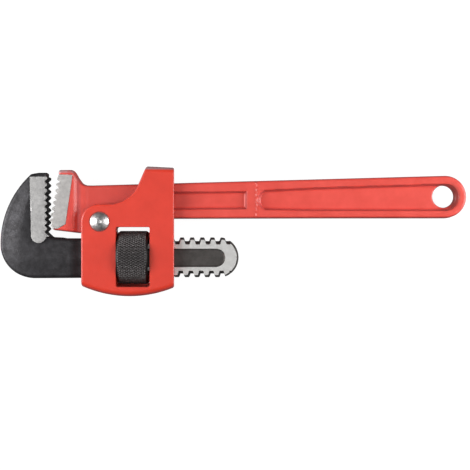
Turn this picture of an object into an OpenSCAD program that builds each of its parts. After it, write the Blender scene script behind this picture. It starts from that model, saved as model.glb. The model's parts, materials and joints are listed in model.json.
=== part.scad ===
// Stillson-pattern pipe wrench, 250 mm size, lying flat with its jaws nearly closed.
// Outlines are drawn about the pivot pin: +X runs down the handle, +Y to the back of the wrench.
// place() then moves the origin to the middle of the underside of the whole wrench.

/* [Handle] */
// Half thickness of the handle's edges and head
handle_half = 5.6; // [5.2:0.1:6.2]
// Half thickness of the web between the edges
web_half = 2.2; // [1.5:0.05:4]
// Radius of the hanging hole
hole_r = 6; // [4:0.1:6.4]

/* [Jaws] */
// Half thickness of the heel jaw insert
heel_half = 6; // [5.7:0.1:6.6]
// Half thickness of the hook jaw's body
hook_half = 6.1; // [5.6:0.1:6.4]
// Half thickness of the hook jaw's ground tooth pad
pad_half = 6.5; // [6.4:0.1:6.9]
// Depth of the jaw teeth
tooth_h = 1.3; // [0.8:0.1:1.5]

/* [Thread] */
// Pitch of the shank's thread
pitch = 5.5; // [5.5:0.1:5.5]
// Radius over the thread's crests
crest_r = 10.8; // [10.4:0.1:10.8]
// Radius at the thread's roots
root_r = 8.8; // [8.2:0.1:8.8]
// Half thickness of the shank across its ground flats
shank_half = 5.2; // [4.6:0.1:5.6]
// Depth of the long recess in each flat
recess_h = 0.9; // [0.4:0.1:1.6]

/* [Adjusting nut] */
// Outside radius of the nut
nut_r = 14.3; // [13:0.1:14.3]
// Length of the nut
nut_len = 16.8; // [16.6:0.1:17]
// Bevel at the nut's ends
nut_bevel = 0.8; // [0.5:0.1:1.6]

/* [Frame] */
// Half width over the frame's cheeks
frame_half = 10.4; // [9.6:0.1:11]
// Half width between the cheeks
frame_inner = 7; // [7:0.1:7.4]
// Thickness of the bottom and of the bridge
frame_wall = 3.2; // [2.4:0.1:3.4]
// Outside radius of the folded edges
fold_r = 3; // [1:0.1:3.2]

/* [Pivot pin] */
// Radius of the pin
pin_r = 4; // [3.4:0.1:4.2]
// Clearance between the pin and the handle's bore
pin_gap = 0.05; // [0.02:0.01:0.1]
// Radius of the pin's domed heads
dome_r = 5; // [4.6:0.1:5.6]
// Height of the domed heads
dome_h = 2; // [1:0.1:2.4]

/* [Springs] */
// Thickness of the back spring
back_t = 0.7; // [0.4:0.1:0.9]
// Thickness of the front spring
front_t = 0.5; // [0.3:0.1:0.5]

/* [Hidden] */
$fn = 72;
RED = [0.86, 0.2, 0.16];
BLACK = [0.2, 0.2, 0.21];
STEEL = [0.7, 0.7, 0.69];
axis_y = -19.2;
nut_x = 8.9;
bottom_c = [15.8, 22.65];
bottom_r = 62.5;
bridge_y = 29.3;
bridge_tilt = atan(0.05);
end_slant = 3.4;
top_slope = atan(0.02755);

function arc(c, r, a0, a1, n) = [for (i = [0 : n]) let (a = a0 + (a1 - a0) * i / n) c + r * [cos(a), sin(a)]];
function back_y(x) = 19.86 + 0.02755 * x;
function ease(u) = let (v = max(0, min(1, u))) v * v * (3 - 2 * v);

module place() translate([-71.1, 5.12, 14.3]) children();
module plate(half) linear_extrude(2 * half, center = true) children();
module both_sides() {
    children();
    mirror([0, 0, 1]) children();
}

// The handle's side view: head with its seat for the insert, neck, boss round the pin, grip.
module handle_side() {
    polygon(concat(
        [[-26.3, -3.8], [-25.4, -4.55], [-12.4, -6.1], [-4.6, -6.1]],
        arc([0, 0], 6.8, -116, -62, 8),
        [[9, -2.6], [16, -0.2], [39, 1.6], [118, 1.83]],
        arc([185.2, 13.42], 11.55, -90, 88.4, 24),
        [[-5, back_y(-5)], [-8.6, 19.85], [-10.4, 20.85], [-12.5, 23.5], [-14.4, 26.95], [-16.2, 28.15],
         [-21.8, 28.15], [-22.9, 27.15], [-22.9, 25.5], [-15, 25.2], [-18.8, -1.3], [-22.9, -3.7]]));
}

module front_pocket() {
    polygon([[22, 7.5], [23, 6.5], [77.2, 7.1], [78.2, 8.1], [78.2, 15.2], [77.2, 16.2], [23, 15.6], [22, 14.6]]);
}

module grip_pocket() {
    polygon(concat(
        arc([89.9, 11.7], 5.7, 250, 110, 12),
        [[118, 18.1]],
        arc([184.9, 13.1], 7, 92, -90, 20),
        [[118, 6.15]]));
}

module tongue() translate([-19, 5, -2.5]) cube([5.5, 14, 5]);

module handle() color(RED) difference() {
    union() {
        plate(handle_half) handle_side();
        cylinder(r = 6.6, h = 2 * frame_inner - 0.2, center = true);
    }
    both_sides() translate([0, 0, web_half]) linear_extrude(20) {
        front_pocket();
        grip_pocket();
    }
    cylinder(r = pin_r + pin_gap, h = 40, center = true);
    translate([184.75, 13.65, 0]) cylinder(r = hole_r, h = 40, center = true);
    tongue();
    back_rivet_shank();
    front_rivet_shank();
}

// The toothed insert: eight teeth on a line that leans away from the hook jaw.
module heel_jaw() color(STEEL) {
    plate(heel_half) polygon(concat(
        [[-22.9, -3.7], [-25.6, -3.7], [-27, -2.1]],
        [for (i = [0 : 7]) let (y = 0.3 + 3.2 * i, x = -27.3 + 0.176 * y)
            each [[x + tooth_h + 0.1, y - 1.35], [x, y + 0.2], [x + 0.1, y + 0.8]]],
        [[-22.2, 25.5], [-15, 25.2], [-18.8, -1.3]]));
    tongue();
}

// Side view of the hook: bottom edge, heel, back, top and the row of teeth down to the throat.
module hook_side() {
    polygon(concat(
        [[7.5, -30.3]],
        arc([-36.2, -12.2], 18.35, 270, 180, 18),
        arc([-3.35, -11.8], 51.2, 179.5, 132.5, 16),
        [[-35.8, 26.4], [-34.2, 26.65], [-29.8, 26.65], [-28.6, 25.4]],
        [for (i = [0 : 8]) let (y = 21.6 - 3.375 * i)
            each [[-28.6, y + 1.35], [-28.6 - tooth_h, y + 0.1], [-28.6 - tooth_h, y - 0.1], [-28.6, y - 1.35]]],
        [[-27.9, -7.6], [-26.2, -8.2], [-21, -8.45], [-18.7, -8.85], [7.5, -8.9]]));
}

module pad_side() {
    polygon(concat([[-25, 24.2], [-37.95, 24.2]], arc([-33.1, -7.4], 4.05, 180, 350, 14), [[-25, -8]]));
}

// A section wound round the shank's axis at the thread's pitch; at angle 0 it stands towards +Y.
module ridge(start, first, step, count, section) {
    points = [for (i = [0 : count]) let (a = first + step * i) for (p = section)
        [start + pitch * a / 360 + p[0], p[1] * cos(a), p[1] * sin(a)]];
    sides = [for (i = [0 : count - 1]) for (j = [0 : 3]) let (a = 4 * i + j, b = 4 * i + (j + 1) % 4)
        each [[b + 4, b, a], [a + 4, b + 4, a]]];
    last = 4 * count;
    polyhedron(points, concat([[0, 1, 2, 3]], sides, [[last + 3, last + 2, last + 1, last]]));
}

// The thread survives only on the shank's two narrow edges, between the ground flats.
module thread() intersection() {
    union() {
        translate([7, 0, 0]) rotate([0, 90, 0]) cylinder(r = root_r, h = 68);
        for (n = [0 : 12]) for (side = [0, 180])
            ridge(4.925 + pitch * n, side - 48, 16, 6, [[-1.91, 8], [1.91, 8], [1, crest_r], [-1, crest_r]]);
    }
    plate(shank_half) {
        translate([7.5, -12]) square([55.55, 24]);
        translate([63.05, 0]) circle(11);
    }
}

module hook_jaw() color(BLACK) difference() {
    union() {
        plate(hook_half) intersection() {
            hook_side();
            translate([-60, -40]) square([46, 80]);
        }
        plate(shank_half) intersection() {
            hook_side();
            translate([-15, -40]) square([60, 60]);
        }
        plate(pad_half) intersection() {
            hook_side();
            pad_side();
        }
        translate([0, axis_y, 0]) thread();
    }
    both_sides() translate([0, axis_y - 0.15, shank_half - recess_h]) linear_extrude(10) {
        translate([18, -4.55]) square([44.05, 9.1]);
        translate([18, 0]) circle(4.55);
        translate([62.05, 0]) circle(4.55);
    }
}

// The nut's own thread: one ridge wound round the bore, half a pitch away from the shank's teeth.
module nut_ridge() {
    inner = root_r + 0.2;
    outer = crest_r + 0.6;
    ridge(13.175, -144, 12, 69, [[-0.8, inner], [0.8, inner], [1.5, outer], [-1.5, outer]]);
}

module adjusting_nut() color(BLACK) translate([0, axis_y, 0]) {
    bore = crest_r + 0.25;
    translate([nut_x, 0, 0]) rotate([0, 90, 0]) rotate_extrude()
        polygon([[bore + 0.8, 0], [nut_r - nut_bevel, 0], [nut_r, nut_bevel], [nut_r, nut_len - nut_bevel],
                 [nut_r - nut_bevel, nut_len], [bore + 0.8, nut_len], [bore, nut_len - 0.8], [bore, 0.8]]);
    nut_ridge();
}

// Side view of a cheek: round nose over the pin, hollow curve, slope up to the bridge.
module cheek_side() {
    polygon(concat(
        [[-9.85, -50], [42, -50], [42, 36], [27.7, 36]],
        arc([4.6, 26.85], 17.5, -22.2, -90, 16),
        arc([-0.5, 0], 9.35, 90, 180, 16)));
}

// The folded section, rounded where the bottom and the bridge turn into the cheeks.
module fold_bottom() translate([bottom_c[0], bottom_c[1], 0]) rotate_extrude($fn = 180)
    polygon(concat([[0, -frame_half]],
        arc([bottom_r - fold_r, fold_r - frame_half], fold_r, -90, 0, 6),
        arc([bottom_r - fold_r, frame_half - fold_r], fold_r, 0, 90, 6), [[0, frame_half]]));

// The bridge slopes down a little towards the handle; children are drawn down from y = 0.
module under_bridge() translate([31, bridge_y, 0]) rotate([0, 0, -bridge_tilt]) children();

module fold_bridge() under_bridge() translate([-60, 0, 0]) rotate([90, 0, 90]) linear_extrude(120)
    polygon(concat([[-90, -frame_half]],
        arc([-fold_r, fold_r - frame_half], fold_r, -90, 0, 6),
        arc([-fold_r, frame_half - fold_r], fold_r, 0, 90, 6), [[-90, frame_half]]));

// The frame's right-hand end, cut at a slight slant so that the upper cheek reaches further.
module right_end() rotate([0, end_slant, 0]) translate([-80.95, -60, -60]) cube(120);

// A window in one cheek, from x0 and y0 up to the corner that both windows share.
module window(x0, y0) linear_extrude(20) {
    translate([x0, y0 + 1]) square([26.65 - x0, -4.8 - y0]);
    translate([x0 + 1, y0]) square([24.65 - x0, -2.8 - y0]);
    for (x = [x0 + 1, 25.65]) for (y = [y0 + 1, -3.8]) translate([x, y]) circle(1);
}

module frame() color(RED) difference() {
    intersection() {
        plate(frame_half) cheek_side();
        fold_bottom();
        fold_bridge();
        right_end();
    }
    plate(frame_inner) intersection() {
        union() {
            translate(bottom_c) circle(bottom_r - frame_wall, $fn = 180);
            translate([-40, -30.9]) square([50, 40]);
        }
        under_bridge() translate([-80, -90 - frame_wall]) square([140, 90]);
    }
    window(8.6, -34.75);
    mirror([0, 0, 1]) window(7.5, -33.3);
    cylinder(r = pin_r, h = 40, center = true);
}

module dome() {
    ball = (dome_r * dome_r + dome_h * dome_h) / (2 * dome_h);
    intersection() {
        translate([0, 0, frame_half + dome_h - ball]) sphere(ball);
        translate([0, 0, frame_half]) cylinder(r = 12, h = 5);
    }
}

module frame_pin() color(STEEL) {
    cylinder(r = pin_r, h = 2 * frame_half, center = true);
    both_sides() dome();
}

// A flat spring seen from the side: a seat, then an easy bend to the end that presses.
module leaf(x0, x1, seat, lift, from, reach, t) {
    xs = [for (i = [0 : 22]) x0 + (x1 - x0) * i / 22];
    function mid(x) = seat[0] + seat[1] * x + lift * ease((x - from) / reach);
    polygon(concat([for (x = xs) [x, mid(x) - t / 2]], [for (i = [22 : -1 : 0]) [xs[i], mid(xs[i]) + t / 2]]));
}

module back_rivet_shank() translate([25.8, back_y(25.8), 0]) rotate([-90, 0, top_slope])
    translate([0, 0, -3.2]) cylinder(r = 1.2, h = 3.2 + back_t + 0.1);

module back_spring() color(STEEL) difference() {
    plate(4.5) leaf(22.9, 38.3, [back_y(0) + 0.03 + back_t / 2, 0.02755], 4.75 - back_t, 28.4, 9.4, back_t);
    back_rivet_shank();
}

module back_spring_rivet() color(STEEL) {
    back_rivet_shank();
    translate([25.8, back_y(25.8), 0]) rotate([-90, 0, top_slope]) translate([0, 0, back_t + 0.04])
        cylinder(r1 = 2, r2 = 1.5, h = 0.8);
}

module front_rivet_shank() translate([-7.2, -6.1 - front_t - 0.1, 0]) rotate([-90, 0, 0])
    cylinder(r = 1, h = 3 + front_t + 0.1);

module front_spring() color(STEEL) difference() {
    plate(3.5) leaf(-8.9, 6.2, [-6.12 - front_t / 2, 0], front_t - 2.18, -5.4, 9.9, front_t);
    front_rivet_shank();
}

module front_spring_rivet() color(STEEL) {
    front_rivet_shank();
    translate([-7.2, -6.12 - front_t, 0]) rotate([90, 0, 0]) cylinder(r1 = 1.7, r2 = 1.3, h = 0.7);
}

place() handle();
place() heel_jaw();
place() hook_jaw();
place() adjusting_nut();
place() frame();
place() frame_pin();
place() back_spring();
place() back_spring_rivet();
place() front_spring();
place() front_spring_rivet();
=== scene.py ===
"""Looks of a 250 mm Stillson-pattern pipe wrench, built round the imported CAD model.

Every forged, folded or ground piece is written as a distance field in millimetres about the pivot
pin (+X down the handle, +Y to the back, +Z through the thickness), and then meshed by dual
contouring, which keeps ground edges crisp and forged edges round. The nut and the pin are turned.
"""

import json
import math

import bpy
import numpy as np
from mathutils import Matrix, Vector


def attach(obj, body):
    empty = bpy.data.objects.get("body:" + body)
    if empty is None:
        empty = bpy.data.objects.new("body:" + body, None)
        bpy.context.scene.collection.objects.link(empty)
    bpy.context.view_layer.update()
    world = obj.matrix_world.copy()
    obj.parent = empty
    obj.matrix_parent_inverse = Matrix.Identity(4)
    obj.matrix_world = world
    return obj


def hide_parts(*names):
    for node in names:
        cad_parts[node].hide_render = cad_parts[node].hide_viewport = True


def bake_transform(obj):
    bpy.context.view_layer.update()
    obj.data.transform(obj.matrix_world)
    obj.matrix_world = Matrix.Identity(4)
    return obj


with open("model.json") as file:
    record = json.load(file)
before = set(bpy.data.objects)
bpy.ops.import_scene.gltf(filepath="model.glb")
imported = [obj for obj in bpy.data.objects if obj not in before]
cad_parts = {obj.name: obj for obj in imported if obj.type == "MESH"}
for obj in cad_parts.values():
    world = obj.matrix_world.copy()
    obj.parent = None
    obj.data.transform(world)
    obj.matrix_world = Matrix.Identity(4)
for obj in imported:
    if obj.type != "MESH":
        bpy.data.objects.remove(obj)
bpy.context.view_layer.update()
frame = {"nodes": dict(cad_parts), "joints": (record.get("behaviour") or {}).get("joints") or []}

MM = 0.001
PIVOT = next(j for j in frame["joints"] if j["name"] == "frame_pivot")
PIN = np.array(PIVOT["pos_m"])
GRID = 0.45

# Thicknesses, each the distance from the mid-plane
HEAD_HALF = 5.8
WEB_HALF = 2.2
HEEL_HALF = 6.0
HOOK_HALF = 6.1
PAD_HALF = 6.5
SHANK_HALF = 5.2
FRAME_HALF = 10.4
FRAME_INNER = 7.0

# Handle
BACK_Y = 19.86
BACK_SLOPE = 0.02755
BOSS_R = 6.6
HOLE_C = (184.75, 13.65)
HOLE_R = 6.0
HEAD_STEP = 1.35
NECK_RISE = 0.13
RAIL_RISE = 0.3
GRIP_RISE = 0.5
POCKET_DRAFT = 0.28

# Hidden tongue that keys the heel jaw into the handle: its centre, its half sizes and the room round it
KEY_C = (-16.25, 12.0)
KEY_HALF = (2.7, 6.95, 2.45)
KEY_ROOM = 0.1

# Thread on the shank
SHANK_Y = -19.2
PITCH = 5.5
CREST_R = 10.8
ROOT_R = 8.8
FIRST_TOOTH = 4.925
THREAD_START = 7.5
SHANK_END = 63.05
RECESS_HALF = 4.55
RECESS_DEPTH = 0.9

# Adjusting nut
NUT_X = 8.9
NUT_LEN = 16.8
NUT_R = 14.3
NUT_BEVEL = 0.8
KNURL_DEPTH = 0.45
KNURL_STARTS = 64
NUT_BORE = CREST_R + 0.25

# Frame
PIN_R = 4.0
DOME_R = 5.0
DOME_H = 2.0
BOTTOM_C = (15.8, 22.65)
BOTTOM_R = 62.5
BRIDGE_Y = 29.3
BRIDGE_FALL = 0.05
WALL = 3.2
RIGHT_END = 39.12
END_SLANT = 0.0594

# Leaf springs
BACK_LEAF = 0.7
FRONT_LEAF = 0.5

# Camera and light, in metres and watts
CAMERA_HEIGHT = 0.55
CAMERA_FOOT = (72.15, -7.12)
SEEN_WIDTH = 0.2549
SOFTBOX_POWER = 3.7
OVERHEAD_POWER = 0.5


# ---------------------------------------------------------------- outlines

def arc(cx, cy, r, start, stop, n):
    """Points on an arc, angles in degrees."""
    angles = np.radians(np.linspace(start, stop, n + 1))
    return [(cx + r * math.cos(a), cy + r * math.sin(a)) for a in angles]


def back_y(x):
    """The handle's straight back edge."""
    return BACK_Y + BACK_SLOPE * x


HANDLE = (
    [(-26.3, -3.8), (-25.4, -4.55), (-12.4, -6.1), (-4.6, -6.1)]
    + arc(0, 0, 6.8, -116, -62, 8)
    + [(9, -2.6), (16, -0.2), (39, 1.6), (118, 1.83)]
    + arc(185.2, 13.42, 11.55, -90, 88.4, 32)
    + [(-5, back_y(-5)), (-8.0, 19.8), (-9.4, 20.3), (-10.6, 21.2), (-12.5, 23.9), (-14.0, 26.5)]
    + [(-14.9, 27.6), (-16.2, 28.15), (-21.6, 28.15), (-22.6, 27.7), (-22.9, 26.9), (-22.9, 25.5)]
    + [(-40, 25.5), (-40, -3.8)]
)

SEAT = [(-45, -3.7), (-22.9, -3.7), (-18.8, -1.3), (-15, 25.2), (-22.9, 25.5), (-45, 25.5)]

FRONT_POCKET = [(22, 6.5), (78.2, 7.1), (78.2, 16.2), (22, 15.6)]

GRIP_POCKET = (
    arc(90.2, 11.7, 5.4, 250, 110, 16)
    + [(118, 18.1)]
    + arc(184.9, 13.1, 7.0, 92, -90, 28)
    + [(118, 6.15)]
)


def heel_teeth():
    """Eight saw teeth on a line leaning away from the hook."""
    points = []
    for i in range(8):
        y = 0.3 + 3.2 * i
        x = -27.3 + 0.176 * y
        points += [(x + 1.4, y - 1.35), (x, y + 0.2), (x + 0.1, y + 0.8)]
    return points


HEEL = (
    [(-22.9, -3.7), (-25.6, -3.7), (-27.0, -2.1)]
    + heel_teeth()
    + [(-22.2, 25.5), (-15, 25.2), (-18.8, -1.3)]
)


def hook_teeth():
    """Nine notches cut straight into the hook's face."""
    points = []
    for i in range(9):
        y = 21.6 - 3.375 * i
        points += [(-28.6, y + 1.35), (-29.9, y + 0.15), (-29.9, y - 0.15), (-28.6, y - 1.35)]
    return points


HOOK_BACK = (
    arc(-36.2, -12.2, 18.35, 270, 180, 28)
    + arc(-3.35, -11.8, 51.2, 179.5, 132.5, 32)
    + [(-35.8, 26.4), (-34.2, 26.65), (-29.8, 26.65), (-28.9, 26.1), (-28.6, 25.4)]
)
HOOK_FOOT = [(THREAD_START, -30.3)]
HOOK_THROAT = (
    [(-27.9, -7.4), (-27.2, -7.95), (-26.2, -8.2), (-21, -8.45), (-18.7, -8.85)]
    + [(THREAD_START, -8.9)]
)
HOOK = HOOK_FOOT + HOOK_BACK + hook_teeth() + HOOK_THROAT
HOOK_BODY = HOOK_FOOT + HOOK_BACK[:-1] + [(-29.0, 23.6), (-30.2, 22), (-30.2, -6.4)] + HOOK_THROAT
PAD = [(-25, 24.2), (-37.95, 24.2)] + arc(-33.1, -7.4, 4.05, 180, 350, 20) + [(-25, -8)]

CHEEK = (
    [(-9.85, -60), (45, -60), (45, 40), (29.4, 40)]
    + arc(4.6, 26.85, 17.5, -22.2, -90, 28)
    + arc(-0.5, 0, 9.35, 90, 180, 28)
)


# ---------------------------------------------------------------- distance fields

def outline(points, x, y):
    """Signed distance to a closed outline, negative inside it."""
    nearest = np.inf
    inside = False
    for (ax, ay), (bx, by) in zip(points, points[1:] + points[:1]):
        ex, ey = bx - ax, by - ay
        wx, wy = x - ax, y - ay
        t = np.clip((wx * ex + wy * ey) / (ex * ex + ey * ey), 0, 1)
        nearest = np.minimum(nearest, (wx - ex * t) ** 2 + (wy - ey * t) ** 2)
        if ey:
            inside = inside ^ (((ay <= y) != (by <= y)) & (wx < ex * wy / ey))
    return np.where(inside, -1, 1) * np.sqrt(nearest)


def meet(a, b, r=0.0):
    """What two solids share, with the edge between them rounded to radius r."""
    a, b = a + r, b + r
    return np.minimum(np.maximum(a, b), 0) + np.hypot(np.maximum(a, 0), np.maximum(b, 0)) - r


def join(a, b, r=0.0):
    """Two solids together, with a fillet of radius r where they meet."""
    return -meet(-a, -b, r)


def cut(a, b, r=0.0):
    """One solid less another, with the new edge rounded to radius r."""
    return meet(a, -b, r)


def ease(x, start, stop):
    """0 before start, 1 after stop, and smooth between."""
    t = np.clip((x - start) / (stop - start), 0, 1)
    return t * t * (3 - 2 * t)


def slot_shape(x, y, x0, x1, cy, r):
    """Distance to a round-ended slot along X."""
    middle, half = (x0 + x1) / 2, (x1 - x0) / 2
    return np.hypot(np.maximum(np.abs(x - middle) - half, 0), y - cy) - r


def key_shape(x, y, depth, room):
    """The heel jaw's hidden tongue, or with some room its slot in the handle."""
    along = np.abs(x - KEY_C[0]) - KEY_HALF[0] - room
    across = np.abs(y - KEY_C[1]) - KEY_HALF[1] - room
    return meet(meet(along, across), depth - KEY_HALF[2] - room)


def handle_half(x, y):
    """Half the handle's thickness: a step down from the head, then rises to the rails and the grip."""
    neck = HEAD_HALF - HEAD_STEP * ease(x, -15.5, -12.0) + NECK_RISE * ease(x, -8.6, -6.2)
    ragged = x + 0.3 * np.sin(1.9 * y) + 0.2 * np.sin(4.3 * y)
    return neck + RAIL_RISE * ease(x, 5, 35) + GRIP_RISE * ease(ragged, 83.0, 84.4)


def handle_shape(x, y, z):
    depth = np.abs(z)
    body = meet(outline(HANDLE, x, y) + 0.06 * depth, depth - handle_half(x, y), 1.15)
    body = cut(body, outline(SEAT, x, y), 0.12)
    body = join(body, meet(np.hypot(x, y) - BOSS_R, depth - FRAME_INNER + 0.15, 0.3), 0.6)
    for points in (FRONT_POCKET, GRIP_POCKET):
        wall = outline(points, x, y) + 0.5 - POCKET_DRAFT * (depth - WEB_HALF)
        body = cut(body, meet(wall, WEB_HALF - depth, 0.9), 0.45)
    body = cut(body, np.hypot(x - HOLE_C[0], y - HOLE_C[1]) - HOLE_R, 0.7)
    body = cut(body, key_shape(x, y, depth, KEY_ROOM))
    return cut(body, np.hypot(x, y) - PIN_R - 0.05)


def heel_shape(x, y, z):
    depth = np.abs(z)
    block = meet(outline(HEEL, x, y), depth - HEEL_HALF, 0.18)
    return join(block, key_shape(x, y, depth, 0.0))


def thread_shape(x, y, z):
    """Right-hand thread left on the shank's two edges by its ground flats."""
    up, depth = y - SHANK_Y, np.abs(z)
    r = np.hypot(up, z)
    along = x - FIRST_TOOTH - PITCH * np.arctan2(z, up) / (2 * math.pi)
    along = along - PITCH * np.round(along / PITCH)
    tooth = meet(0.95 * (np.abs(along) - 1.65 + 0.325 * (r - ROOT_R)), r - CREST_R, 0.3)
    thread = meet(join(tooth, r - ROOT_R, 0.3), depth - SHANK_HALF, 0.1)
    end = np.hypot(np.maximum(x - SHANK_END, 0), up) - 11
    return meet(meet(thread, end, 0.25), end + 0.55 * depth - 0.55 * SHANK_HALF + 1.0)


def hook_shape(x, y, z):
    depth = np.abs(z)
    side = outline(HOOK_BODY, x, y)
    thick = HOOK_HALF - (HOOK_HALF - SHANK_HALF) * ease(x, -17, -11) - 1.3 * ease(side, -12, 0)
    body = meet(side + 0.09 * depth, depth - thick, 1.7)
    teeth = meet(outline(HOOK, x, y), outline(PAD, x, y))
    body = join(body, meet(teeth, depth - PAD_HALF, 0.15), 0.25)
    thread = meet(thread_shape(x, y, z), THREAD_START - 0.5 - x)
    body = join(body, thread, 0.2)
    floor = SHANK_HALF - RECESS_DEPTH
    recess = slot_shape(x, y, 18, SHANK_END - 1, SHANK_Y - 0.15, RECESS_HALF) - 0.35 * (depth - floor)
    return cut(body, meet(recess, floor - depth, 0.5), 0.12)


def window(x, y, x0, y0):
    """Distance to a cheek's window, from x0 and y0 up to the corner that both windows share."""
    return meet(np.maximum(x0 - x, x - 26.65), np.maximum(y0 - y, y + 2.8), 1.0)


def frame_shape(x, y, z):
    depth = np.abs(z)
    from_c = np.hypot(x - BOTTOM_C[0], y - BOTTOM_C[1])
    over_bridge = y - BRIDGE_Y + BRIDGE_FALL * (x - 31)
    shell = meet(np.maximum(from_c - BOTTOM_R, over_bridge), depth - FRAME_HALF, 3.0)
    shell = meet(shell, np.maximum(outline(CHEEK, x, y), x - RIGHT_END - END_SLANT * z), 0.85)
    below = np.minimum(from_c - BOTTOM_R + WALL, np.maximum(-30.9 - y, x - 10))
    hollow = np.maximum(below, over_bridge + WALL)
    shell = cut(shell, meet(hollow, depth - FRAME_INNER, 0.8), 0.5)
    shell = cut(shell, np.maximum(window(x, y, 8.6, -34.75), -z), 0.4)
    shell = cut(shell, np.maximum(window(x, y, 7.5, -33.3), z), 0.4)
    return cut(shell, np.hypot(x, y) - PIN_R)


# ---------------------------------------------------------------- meshing

def gradient(shape, points):
    """Unit normals of a field at points, by central differences."""
    step = 0.02
    parts = []
    for axis in range(3):
        move = np.zeros(3)
        move[axis] = step
        ahead, behind = points + move, points - move
        parts.append(shape(*ahead.T) - shape(*behind.T))
    normals = np.stack(parts, axis=1)
    return normals / np.maximum(np.linalg.norm(normals, axis=1, keepdims=True), 1e-9)


def crossings(field, axis, grid):
    """The grid edges along one axis that the surface crosses: their indices, points and direction."""
    ahead = np.roll(field, -1, axis)
    crossed = (field < 0) != (ahead < 0)
    for other in range(3):
        last = [slice(None)] * 3
        last[other] = -1
        crossed[tuple(last)] = False
    cells = np.argwhere(crossed)
    here, there = field[crossed], ahead[crossed]
    points = np.stack([grid[a][cells[:, a]] for a in range(3)], axis=1)
    points[:, axis] += (here / (here - there)) * (grid[axis][1] - grid[axis][0])
    return cells, points, here < 0


def contour(shape, low, high, step):
    """Dual contouring: one vertex in each crossed cell, where the planes of its crossings meet best."""
    grid = [np.arange(a - 1.5 * step, b + 2.5 * step, step) for a, b in zip(low, high)]
    field = shape(grid[0][:, None, None], grid[1][None, :, None], grid[2][None, None, :])
    sizes = field.shape
    stride = np.array([sizes[1] * sizes[2], sizes[2], 1])
    faces, owners, points, normals = [], [], [], []
    for axis in range(3):
        cells, hits, inward = crossings(field, axis, grid)
        b, c = (axis + 1) % 3, (axis + 2) % 3
        ring = []
        for db, dc in ((-1, -1), (0, -1), (0, 0), (-1, 0)):
            shifted = cells.copy()
            shifted[:, b] += db
            shifted[:, c] += dc
            ring.append(shifted @ stride)
        ring = np.stack(ring, axis=1)
        slopes = gradient(shape, hits)
        for k in range(4):
            owners.append(ring[:, k])
            points.append(hits)
            normals.append(slopes)
        faces.append(np.where(inward[:, None], ring, ring[:, ::-1]))
    owners, points, normals = np.concatenate(owners), np.concatenate(points), np.concatenate(normals)
    keys, slots = np.unique(owners, return_inverse=True)
    count = np.bincount(slots)
    centre = np.stack([np.bincount(slots, points[:, a]) for a in range(3)], axis=1) / count[:, None]
    offset = np.einsum("ij,ij->i", normals, points - centre[slots])
    matrix = np.zeros((len(keys), 3, 3))
    right = np.zeros((len(keys), 3))
    for a in range(3):
        right[:, a] = np.bincount(slots, normals[:, a] * offset)
        for b in range(3):
            matrix[:, a, b] = np.bincount(slots, normals[:, a] * normals[:, b])
    matrix += np.eye(3) * 0.08
    shift = np.linalg.solve(matrix, right[:, :, None])[:, :, 0]
    vertices = centre + np.clip(shift, -step, step)
    return vertices, np.searchsorted(keys, np.concatenate(faces))


def add_piece(name, vertices, faces, material, crease=32.0):
    """A mesh object from points in millimetres about the pin, smooth except at its creases."""
    mesh = bpy.data.meshes.new(name)
    placed = np.asarray(vertices) * MM + PIN
    mesh.from_pydata(placed.tolist(), [], [list(map(int, f)) for f in faces])
    mesh.update()
    mesh.polygons.foreach_set("use_smooth", [True] * len(mesh.polygons))
    mesh.set_sharp_from_angle(angle=math.radians(crease))
    mesh.materials.append(material)
    piece = bpy.data.objects.new(name, mesh)
    bpy.context.collection.objects.link(piece)
    return piece


def field_piece(name, shape, low, high, material, step=GRID):
    vertices, faces = contour(shape, low, high, step)
    return add_piece(name, vertices, faces, material)


def lathe(profile, around):
    """Turns a profile of (radius, height), top end first, about Z and closes both ends."""
    vertices, faces = [], []
    count = len(profile)
    for i in range(around):
        a = 2 * math.pi * i / around
        vertices += [(r * math.cos(a), r * math.sin(a), h) for r, h in profile]
        after = (i + 1) % around
        for j in range(count - 1):
            p, q = i * count + j, after * count + j
            faces.append((p, p + 1, q + 1, q))
    faces.append(range(0, around * count, count))
    faces.append(range(around * count - 1, 0, -count))
    return vertices, faces


# ---------------------------------------------------------------- materials

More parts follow.
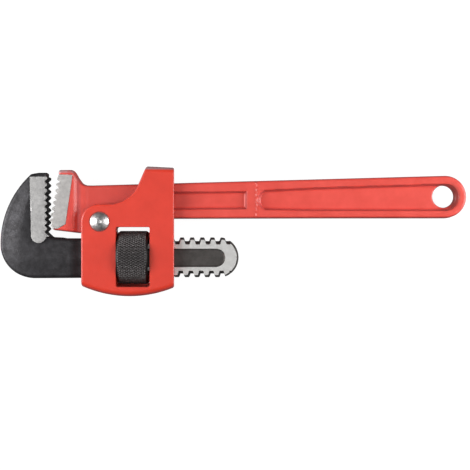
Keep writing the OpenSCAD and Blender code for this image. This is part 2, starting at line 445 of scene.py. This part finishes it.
class Shader:
    """A small helper for building one procedural material."""

    def __init__(self, name, **values):
        self.material = bpy.data.materials.new(name)
        self.material.use_nodes = True
        self.tree = self.material.node_tree
        self.surface = self.tree.nodes["Principled BSDF"]
        self.coords = self.tree.nodes.new("ShaderNodeTexCoord").outputs["Object"]
        self.normal = self.tree.nodes.new("ShaderNodeNewGeometry").outputs["Normal"]
        for key, value in values.items():
            socket = "IOR" if key == "ior" else key.title()
            self.surface.inputs[socket].default_value = value

    def link(self, source, target):
        self.tree.links.new(source, target)

    def noise(self, size_mm, detail=3.0, rough=0.5, stretch=(1, 1, 1)):
        """Noise whose grain is about size_mm across, drawn out by stretch."""
        mapping = self.tree.nodes.new("ShaderNodeMapping")
        mapping.inputs["Scale"].default_value = [1 / (size_mm * MM * s) for s in stretch]
        self.link(self.coords, mapping.inputs["Vector"])
        node = self.tree.nodes.new("ShaderNodeTexNoise")
        node.inputs["Scale"].default_value = 1.0
        node.inputs["Detail"].default_value = detail
        node.inputs["Roughness"].default_value = rough
        self.link(mapping.outputs["Vector"], node.inputs["Vector"])
        return node.outputs["Fac"]

    def ramp(self, value, low, high, out_low=0.0, out_high=1.0):
        """Maps low..high to out_low..out_high, held at the ends."""
        node = self.tree.nodes.new("ShaderNodeMapRange")
        node.inputs["From Min"].default_value = low
        node.inputs["From Max"].default_value = high
        node.inputs["To Min"].default_value = out_low
        node.inputs["To Max"].default_value = out_high
        self.link(value, node.inputs["Value"])
        return node.outputs["Result"]

    def math(self, kind, a, b=None):
        node = self.tree.nodes.new("ShaderNodeMath")
        node.operation = kind
        for socket, value in zip(node.inputs, (a, b)):
            if value is None:
                continue
            if isinstance(value, (int, float)):
                socket.default_value = value
            else:
                self.link(value, socket)
        return node.outputs["Value"]

    def mix(self, factor, a, b):
        """A colour between a and b."""
        node = self.tree.nodes.new("ShaderNodeMix")
        node.data_type = "RGBA"
        self.link(factor, node.inputs[0])
        for socket, value in ((node.inputs[6], a), (node.inputs[7], b)):
            if isinstance(value, tuple):
                socket.default_value = (*value, 1.0)
            else:
                self.link(value, socket)
        return node.outputs[2]

    def split(self, vector):
        node = self.tree.nodes.new("ShaderNodeSeparateXYZ")
        self.link(vector, node.inputs[0])
        return node.outputs

    def place(self):
        """The x, y and z of a point, in millimetres about the pin."""
        found = []
        for value, origin in zip(self.split(self.coords), PIN):
            moved = self.math("SUBTRACT", value, float(origin))
            found.append(self.math("DIVIDE", moved, MM))
        return found

    def away(self, x, y, cx, cy):
        """Distance of x and y from a centre."""
        dx = self.math("SUBTRACT", x, float(cx))
        dy = self.math("SUBTRACT", y, float(cy))
        squares = self.math("ADD", self.math("MULTIPLY", dx, dx), self.math("MULTIPLY", dy, dy))
        return self.math("SQRT", squares)

    def band(self, value, start, full, fade, stop, strength):
        """0 before start, strength from full to fade, and 0 again after stop."""
        falling = self.ramp(value, fade, stop, strength, 0.0)
        return self.math("MULTIPLY", self.ramp(value, start, full), falling)

    def bump(self, *layers):
        """Stacks bumps, each given as (height, depth in mm)."""
        normal = None
        for height, depth in layers:
            node = self.tree.nodes.new("ShaderNodeBump")
            node.inputs["Strength"].default_value = 1.0
            node.inputs["Distance"].default_value = depth * MM
            self.link(height, node.inputs["Height"])
            if normal:
                self.link(normal, node.inputs["Normal"])
            normal = node.outputs["Normal"]
        self.link(normal, self.surface.inputs["Normal"])

    def colour(self, value):
        self.link(value, self.surface.inputs["Base Color"])

    def roughness(self, value):
        self.link(value, self.surface.inputs["Roughness"])


def enamel(name, light, dark):
    """A sprayed paint's shader, its colour where nothing has changed it, and x, y and z."""
    s = Shader(name, ior=1.5)
    s.surface.inputs["Coat Weight"].default_value = 0.35
    s.surface.inputs["Coat Roughness"].default_value = 0.22
    return s, s.mix(s.ramp(s.noise(9, 4, 0.6), 0.3, 0.7), dark, light), s.place()


def edge_shade_and_highlight(s, body, place, highlight_above, highlight_beyond):
    """Darkens the rounded edges as painted shade, and lays a patchy pale painted highlight on the high
    corners above a y and beyond a depth.
    """
    x, y, z = place
    facing = s.math("ABSOLUTE", s.split(s.normal)[2])
    # Painted shade: the edge roundings, which face partly sideways, are darkened.
    body = s.mix(s.band(facing, 0.1, 0.35, 0.65, 0.9, 0.5), body, (0.3, 0.09, 0.1))
    # Painted highlight: a patchy pinkish-pale tone on the top corners, towards the outer faces, stands
    # in for their bright rim.
    outer = s.ramp(s.math("ABSOLUTE", z), highlight_beyond - 1, highlight_beyond)
    on_corner = s.math("MULTIPLY", s.ramp(y, highlight_above, highlight_above + 0.9), outer)
    patchy_highlight = s.math("MULTIPLY", on_corner, s.ramp(s.noise(2.2, 3), 0.3, 0.6, 0.75, 1.0))
    return s.mix(patchy_highlight, body, (0.42, 0.25, 0.26))


def finish_paint(s, body, place, lumps):
    """A painted shadow ring round the pin's dome, and a fine orange peel over the metal's own lumps."""
    x, y, z = place
    # Painted shadow: a dark ring just outside the pin's dome.
    s.colour(s.mix(s.ramp(s.away(x, y, 0, 0), 5.1, 5.8, 0.75, 0.0), body, (0.09, 0.02, 0.015)))
    s.roughness(s.ramp(s.noise(2.5, 4), 0.3, 0.7, 0.36, 0.5))
    s.bump((s.noise(7, 3), lumps), (s.noise(1.1, 2), 0.02))
    return s.material


def handle_paint():
    """Painted shade on the neck and under the frame, painted shade on both sides of the head's step, and
    a painted shadow beyond the hanging hole.
    """
    light, dark = (0.88, 0.088, 0.064), (0.78, 0.066, 0.046)
    s, body, place = enamel("handle_red_enamel", light, dark)
    x, y, z = place
    # Painted shade: the neck and the handle under the frame are darkened where the frame shades them.
    thick = (0.6 * light[0], 0.5 * light[1], 0.5 * light[2])
    body = s.mix(s.band(x, -11, -7, 30, 55, 0.5), body, thick)
    body = edge_shade_and_highlight(s, body, place, 25.8, 4.4)
    # Painted shade: a deep red strip left of the head's step, and a darker mauve band on its slope.
    body = s.mix(s.band(x, -18.2, -17.4, -15.8, -15.2, 0.4), body, (0.55, 0.02, 0.02))
    body = s.mix(s.band(x, -13.2, -12.6, -11.8, -10.2, 0.5), body, (0.4, 0.08, 0.09))
    # Painted shadow: the pocket floor just beyond the hanging hole is darkened.
    hole_shadow_reach = s.ramp(s.away(x, y, *HOLE_C), HOLE_R + 0.2, HOLE_R + 3, 0.8, 0.0)
    painted_hole_shadow = s.math("MULTIPLY", hole_shadow_reach, s.ramp(x, 187, 190))
    body = s.mix(painted_hole_shadow, body, (0.2, 0.05, 0.04))
    return finish_paint(s, body, place, 0.1)


def frame_paint():
    s, body, place = enamel("frame_red_enamel", (0.8, 0.046, 0.022), (0.73, 0.04, 0.018))
    return finish_paint(s, edge_shade_and_highlight(s, body, place, 27.4, 7.6), place, 0.03)


def forging_black():
    """Black oxide over a forging, worn to bare steel where the flats were ground."""
    s = Shader("hook_black_and_ground")
    x, y, z = s.place()
    depth = s.math("ABSOLUTE", z)
    on_pad = s.ramp(depth, PAD_HALF - 0.14, PAD_HALF - 0.06)
    on_flat = s.math("MULTIPLY", s.ramp(depth, SHANK_HALF - 0.1, SHANK_HALF - 0.03), s.ramp(x, 7.9, 8.1))
    ground = s.math("MAXIMUM", on_pad, on_flat)
    patches = s.ramp(s.noise(5, 5, 0.65), 0.3, 0.75)
    forged = s.mix(patches, (0.028, 0.026, 0.028), (0.068, 0.066, 0.072))
    scaled = s.mix(patches, (0.07, 0.064, 0.06), (0.12, 0.11, 0.105))
    black = s.mix(s.ramp(x, 11, 13), forged, scaled)
    marks = s.ramp(s.noise(2.2, 5, 0.7, (1, 1, 4)), 0.3, 0.75)
    pad_steel = s.mix(marks, (0.4, 0.393, 0.39), (0.6, 0.59, 0.58))
    # Painted highlight: the shank's ground flats get a far brighter copy of the ground steel than the
    # pads.
    flat_steel_highlight = s.mix(marks, (0.87, 0.86, 0.84), (1.0, 0.99, 0.97))
    steel = s.mix(s.ramp(x, -10, 7), pad_steel, flat_steel_highlight)
    s.colour(s.mix(ground, black, steel))
    black_rough = s.ramp(s.noise(1.6, 4), 0.3, 0.7, 0.36, 0.56)
    steel_rough = s.ramp(s.noise(0.8, 4, 0.6, (5, 1, 1)), 0.3, 0.7, 0.4, 0.55)
    gap = s.math("SUBTRACT", steel_rough, black_rough)
    s.roughness(s.math("ADD", black_rough, s.math("MULTIPLY", gap, ground)))
    s.link(s.ramp(ground, 0, 1, 0.55, 1.0), s.surface.inputs["Metallic"])
    s.bump((s.noise(4, 4), 0.12), (s.noise(0.7, 3), 0.03))
    return s.material


def ground_steel():
    """Hardened steel, ground across the grain."""
    s = Shader("heel_ground_steel", metallic=1.0)
    s.colour(s.mix(s.ramp(s.noise(2.2, 5, 0.7), 0.3, 0.75), (0.5, 0.48, 0.47), (0.7, 0.68, 0.66)))
    s.roughness(s.ramp(s.noise(0.8, 4, 0.6, (5, 1, 1)), 0.3, 0.7, 0.38, 0.55))
    s.bump((s.noise(0.5, 2, 0.5, (8, 1, 1)), 0.008), (s.noise(1.5, 3), 0.02))
    return s.material


def nut_black():
    """Black oxide, a little polished on the knurl's points."""
    s = Shader("nut_black_oxide", metallic=0.6)
    x, y, z = s.place()
    radius = s.away(y, z, SHANK_Y, 0)
    oxide = s.mix(s.ramp(s.noise(1.5, 4), 0.3, 0.7), (0.08, 0.072, 0.072), (0.14, 0.13, 0.13))
    s.colour(s.mix(s.ramp(radius, NUT_R - KNURL_DEPTH, NUT_R - 0.1), (0.012, 0.011, 0.011), oxide))
    s.roughness(s.ramp(s.noise(1.2, 3), 0.3, 0.7, 0.36, 0.52))
    s.bump((s.noise(0.6, 3), 0.015))
    return s.material


def bright_metal(name, light, dark, rough):
    """Plated or plain steel with faint marks of handling."""
    s = Shader(name, metallic=1.0)
    s.colour(s.mix(s.ramp(s.noise(1.8, 5, 0.65), 0.35, 0.7), dark, light))
    s.roughness(s.ramp(s.noise(0.9, 4), 0.3, 0.7, rough, rough + 0.14))
    s.bump((s.noise(0.8, 3), 0.02))
    return s.material


RED = handle_paint()
FRAME_RED = frame_paint()
HOOK_METAL = forging_black()
HEEL_METAL = ground_steel()
NUT_METAL = nut_black()
PIN_METAL = bright_metal("pin_bright_zinc", (0.74, 0.71, 0.71), (0.5, 0.48, 0.48), 0.36)
SPRING_METAL = bright_metal("spring_blued_steel", (0.16, 0.17, 0.22), (0.09, 0.095, 0.12), 0.3)
RIVET_METAL = bright_metal("rivet_plain_steel", (0.5, 0.5, 0.5), (0.34, 0.34, 0.34), 0.3)


# ---------------------------------------------------------------- pieces

def put(piece, body, node):
    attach(piece, body)
    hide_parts(node)


def build_handle():
    low, high = (-26.55, -7, -6.95), (196.9, 28.3, 6.95)
    piece = field_piece("handle_forging", handle_shape, low, high, RED)
    put(piece, "handle_body", "handle")


def build_heel_jaw():
    low, high = (-27.4, -3.7, -6.1), (-13.4, 25.7, 6.1)
    piece = field_piece("heel_jaw_insert", heel_shape, low, high, HEEL_METAL, GRID * 0.75)
    put(piece, "handle_body", "heel_jaw")


def build_hook_jaw():
    low, high = (-54.7, -30.8, -6.6), (74.2, 26.8, 6.6)
    piece = field_piece("hook_jaw_forging", hook_shape, low, high, HOOK_METAL)
    put(piece, "jaw_body", "hook_jaw")


def build_frame():
    low, high = (-10.0, -40.0, -10.5), (39.9, 29.8, 10.5)
    piece = field_piece("frame_folded_steel", frame_shape, low, high, FRAME_RED)
    put(piece, "frame_body", "frame")


def knurl(angle, along):
    """Height of a diamond knurl, 0 in the grooves and 1 on the points."""
    slant = math.tan(math.radians(30)) / NUT_R
    heights = []
    for side in (-1, 1):
        phase = KNURL_STARTS * (angle + side * slant * along) / (2 * math.pi)
        heights.append(np.abs(2 * (phase - np.floor(phase)) - 1))
    return np.minimum(np.minimum(*heights) * 2.2, 1.0)


def nut_bore(angle, along):
    """The bore with its one thread ridge, half a pitch away from the shank's teeth."""
    centre = FIRST_TOOTH + PITCH / 2 + PITCH * angle / (2 * math.pi)
    off = NUT_X + along - centre
    off = np.abs(off - PITCH * np.round(off / PITCH))
    ridge = np.clip((1.5 - off) / 0.7, 0, 1) * (NUT_BORE - ROOT_R - 0.2)
    return NUT_BORE - ridge * ease(along, 0.4, 1.6) * (1 - ease(along, NUT_LEN - 1.6, NUT_LEN - 0.4))


def build_nut():
    """Rings of points from the near end, out along the knurled rim and back through the bore."""
    around = 560
    angle = np.arange(around) * 2 * math.pi / around
    even = np.zeros(around)
    bevel_r = NUT_R - NUT_BEVEL
    rim_end = NUT_LEN - NUT_BEVEL
    rows = [(0.0, even + bevel_r)]
    for along in np.linspace(NUT_BEVEL, rim_end, 60):
        fade = min(1.0, (along - NUT_BEVEL) / 0.5, (rim_end - along) / 0.5)
        rows.append((along, NUT_R - KNURL_DEPTH + KNURL_DEPTH * fade * knurl(angle, along)))
    rows.append((NUT_LEN, even + bevel_r))
    rows.append((NUT_LEN, even + NUT_BORE + 0.8))
    for along in np.linspace(NUT_LEN - 0.8, 0.8, 52):
        rows.append((along, nut_bore(angle, along)))
    rows.append((0.0, even + NUT_BORE + 0.8))
    vertices, faces = [], []
    for along, radius in rows:
        up, side = radius * np.cos(angle), radius * np.sin(angle)
        vertices.append(np.stack([even + NUT_X + along, SHANK_Y + up, side], axis=1))
    total = len(rows)
    for j in range(total):
        nxt = (j + 1) % total
        for i in range(around):
            k = (i + 1) % around
            faces.append((j * around + i, j * around + k, nxt * around + k, nxt * around + i))
    piece = add_piece("adjusting_nut_knurled", np.concatenate(vertices), faces, NUT_METAL, 40)
    put(piece, "nut_body", "adjusting_nut")


def build_pin():
    """Round pin with a spun dome at each end."""
    top = FRAME_HALF + DOME_H
    dimple_r = 1.2
    steps = 14
    profile = [(0.02, top - 0.12), (0.7, top - 0.1), (dimple_r, top)]
    ball = (DOME_R ** 2 + DOME_H ** 2) / (2 * DOME_H)
    for i in range(1, steps + 1):
        r = dimple_r + (DOME_R - dimple_r) * i / steps
        profile.append((r, top - ball + math.sqrt(ball * ball - r * r) + 0.02))
    profile += [(DOME_R, FRAME_HALF + 0.01), (PIN_R, FRAME_HALF + 0.01)]
    whole = profile + [(r, -h) for r, h in reversed(profile)]
    vertices, faces = lathe(whole, 72)
    piece = add_piece("frame_pin_domed", vertices, faces, PIN_METAL)
    put(piece, "frame_body", "frame_pin")


def leaf_rows(x0, x1, seat, lift, start, reach, thick, half):
    """A flat spring as cross-sections: a flat seat, then an easy bend to the end that presses.

    seat is its height and slope, lift how far the end bends away, half its half width.
    """
    vertices, faces = [], []
    steps = 40
    for i in range(steps + 1):
        x = x0 + (x1 - x0) * i / steps
        mid = seat[0] + seat[1] * x + lift * float(ease(np.float64(x), start, start + reach))
        end = min(1.0, (x - x0) / 1.2 + 0.55, (x1 - x) / 1.2 + 0.55)
        for side, edge in ((1, 1), (1, -1), (-1, -1), (-1, 1)):
            vertices.append((x, mid + side * thick / 2, edge * half * end))
        if i:
            base = 4 * (i - 1)
            for k in range(4):
                m = (k + 1) % 4
                faces.append((base + k, base + 4 + k, base + 4 + m, base + m))
    faces.append((0, 1, 2, 3))
    last = 4 * steps
    faces.append((last + 3, last + 2, last + 1, last))
    return vertices, faces


def from_pin(x, y):
    """A point in the mid-plane, in metres in the shared frame."""
    return tuple(PIN + np.array((x, y, 0)) * MM)


def put_spring(name, rows, node):
    """Lays a leaf from the handle, where it is riveted, to the bent end that presses on the part that
    swings.
    """
    piece = add_piece(name, *rows, SPRING_METAL)
    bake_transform(piece)
    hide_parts(node)


def build_springs():
    """Both flat springs are riveted to the handle and press on the part that swings."""
    on_back = (BACK_Y + 0.38, BACK_SLOPE)
    back = leaf_rows(22.9, 38.3, on_back, 4.05, 28.4, 9.4, BACK_LEAF, 4.5)
    put_spring("back_leaf_spring", back, "back_spring")
    under_neck = (-6.37, 0)
    front = leaf_rows(-8.9, 6.2, under_neck, -1.68, -5.4, 9.9, FRONT_LEAF, 3.5)
    put_spring("front_leaf_spring", front, "front_spring")


def dress_rivets():
    """The springs' rivets are the CAD solids, with a better material."""
    for node in ("back_spring_rivet", "front_spring_rivet"):
        rivet = frame["nodes"][node]
        rivet.data.materials.clear()
        rivet.data.materials.append(RIVET_METAL)


build_handle()
build_heel_jaw()
build_hook_jaw()
build_frame()
build_nut()
build_pin()
build_springs()
dress_rivets()


# ---------------------------------------------------------------- stage, light and camera

def build_floor():
    half = 12.0
    corners = [(-half, -half, 0), (half, -half, 0), (half, half, 0), (-half, half, 0)]
    mesh = bpy.data.meshes.new("floor")
    mesh.from_pydata(corners, [], [(0, 1, 2, 3)])
    material = bpy.data.materials.new("floor_white")
    material.use_nodes = True
    surface = material.node_tree.nodes["Principled BSDF"]
    surface.inputs["Base Color"].default_value = (0.1, 0.1, 0.1, 1)
    surface.inputs["Roughness"].default_value = 0.9
    surface.inputs["Emission Color"].default_value = (1, 1, 1, 1)
    surface.inputs["Emission Strength"].default_value = 0.96
    mesh.materials.append(material)
    floor = bpy.data.objects.new("floor", mesh)
    bpy.context.collection.objects.link(floor)
    floor.visible_glossy = False
    floor.visible_diffuse = False


def area_light(name, place, width, height, power):
    """A rectangular lamp that points at the middle of the wrench."""
    data = bpy.data.lights.new(name, "AREA")
    data.shape = "RECTANGLE"
    data.size = width
    data.size_y = height
    data.energy = power
    lamp = bpy.data.objects.new(name, data)
    lamp.location = place
    lamp.rotation_euler = (-Vector(place)).to_track_quat("-Z", "Y").to_euler()
    bpy.context.collection.objects.link(lamp)


def build_lights():
    """Two softboxes, a weak lamp overhead, and a dim world that looks pale to the camera."""
    area_light("softbox_left", (-0.5, 0.03, 0.25), 0.3, 0.6, SOFTBOX_POWER)
    area_light("softbox_right", (0.5, 0.03, 0.25), 0.3, 0.6, SOFTBOX_POWER)
    area_light("overhead", (0.0, 0.0, 1.1), 0.5, 0.5, OVERHEAD_POWER)
    world = bpy.data.worlds.new("studio")
    world.use_nodes = True
    background = world.node_tree.nodes["Background"]
    background.inputs["Color"].default_value = (1, 1, 1, 1)
    strength = world.node_tree.nodes.new("ShaderNodeMapRange")
    strength.inputs["To Min"].default_value = 0.1
    strength.inputs["To Max"].default_value = 0.92
    rays = world.node_tree.nodes.new("ShaderNodeLightPath")
    world.node_tree.links.new(rays.outputs["Is Camera Ray"], strength.inputs["Value"])
    world.node_tree.links.new(strength.outputs["Result"], background.inputs["Strength"])
    bpy.context.scene.world = world


def build_camera():
    """Straight down on the wrench's side, 550 mm above its mid-plane."""
    x, y, z = from_pin(*CAMERA_FOOT)
    data = bpy.data.cameras.new("camera")
    data.sensor_width = 36.0
    data.lens = data.sensor_width * CAMERA_HEIGHT / SEEN_WIDTH
    camera = bpy.data.objects.new("camera", data)
    camera.location = (x, y, z + CAMERA_HEIGHT)
    bpy.context.collection.objects.link(camera)
    bpy.context.scene.camera = camera


build_floor()
build_lights()
build_camera()
bpy.context.scene.view_settings.view_transform = "Standard"
